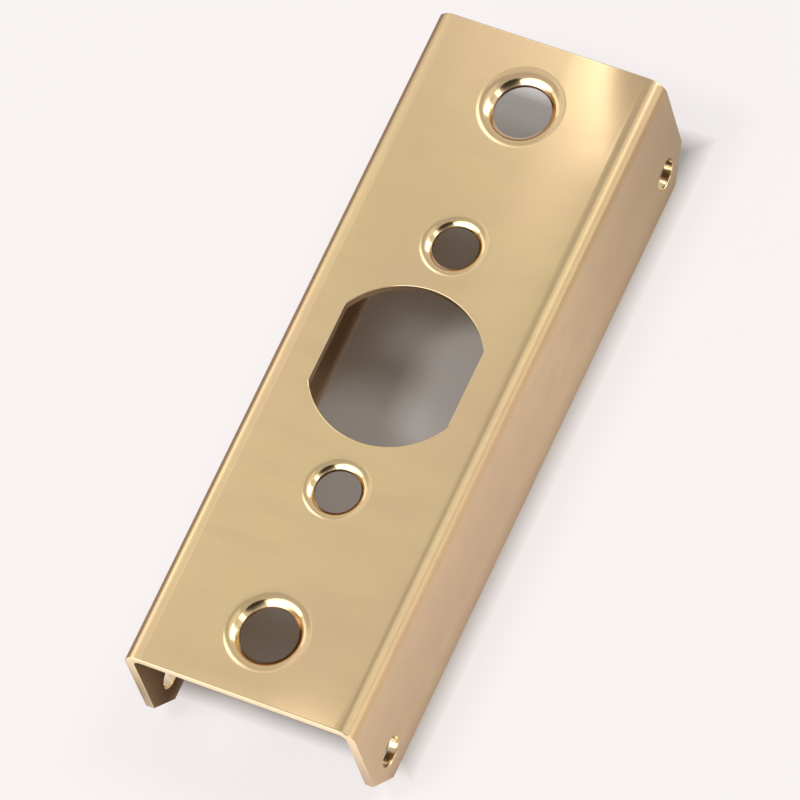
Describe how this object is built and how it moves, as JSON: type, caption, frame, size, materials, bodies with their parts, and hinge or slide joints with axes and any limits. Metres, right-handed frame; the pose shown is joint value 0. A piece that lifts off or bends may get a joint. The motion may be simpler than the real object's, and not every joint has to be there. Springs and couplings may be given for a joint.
{
  "type": "door edge guard",
  "caption": "Folded brass channel that wraps a door's edge round its latch, with a flat-sided latch hole in its web, countersunk screw holes and plain holes in its clipped flanges.",
  "frame": {"origin": "on the surface that the flanges' lower edges rest on, straight under the middle of the latch hole", "axes": "+Y along the door's edge, +X across the door's thickness, +Z away from the door, out of the web's face"},
  "size_m": [0.0382, 0.1142, 0.0254],
  "materials": {
    "brass": "satin brass with a fine lengthways grain, bright along the folds and cut edges"
  },
  "bodies": {
    "root": {"edge_guard": "brass"}
  },
  "joints": []
}
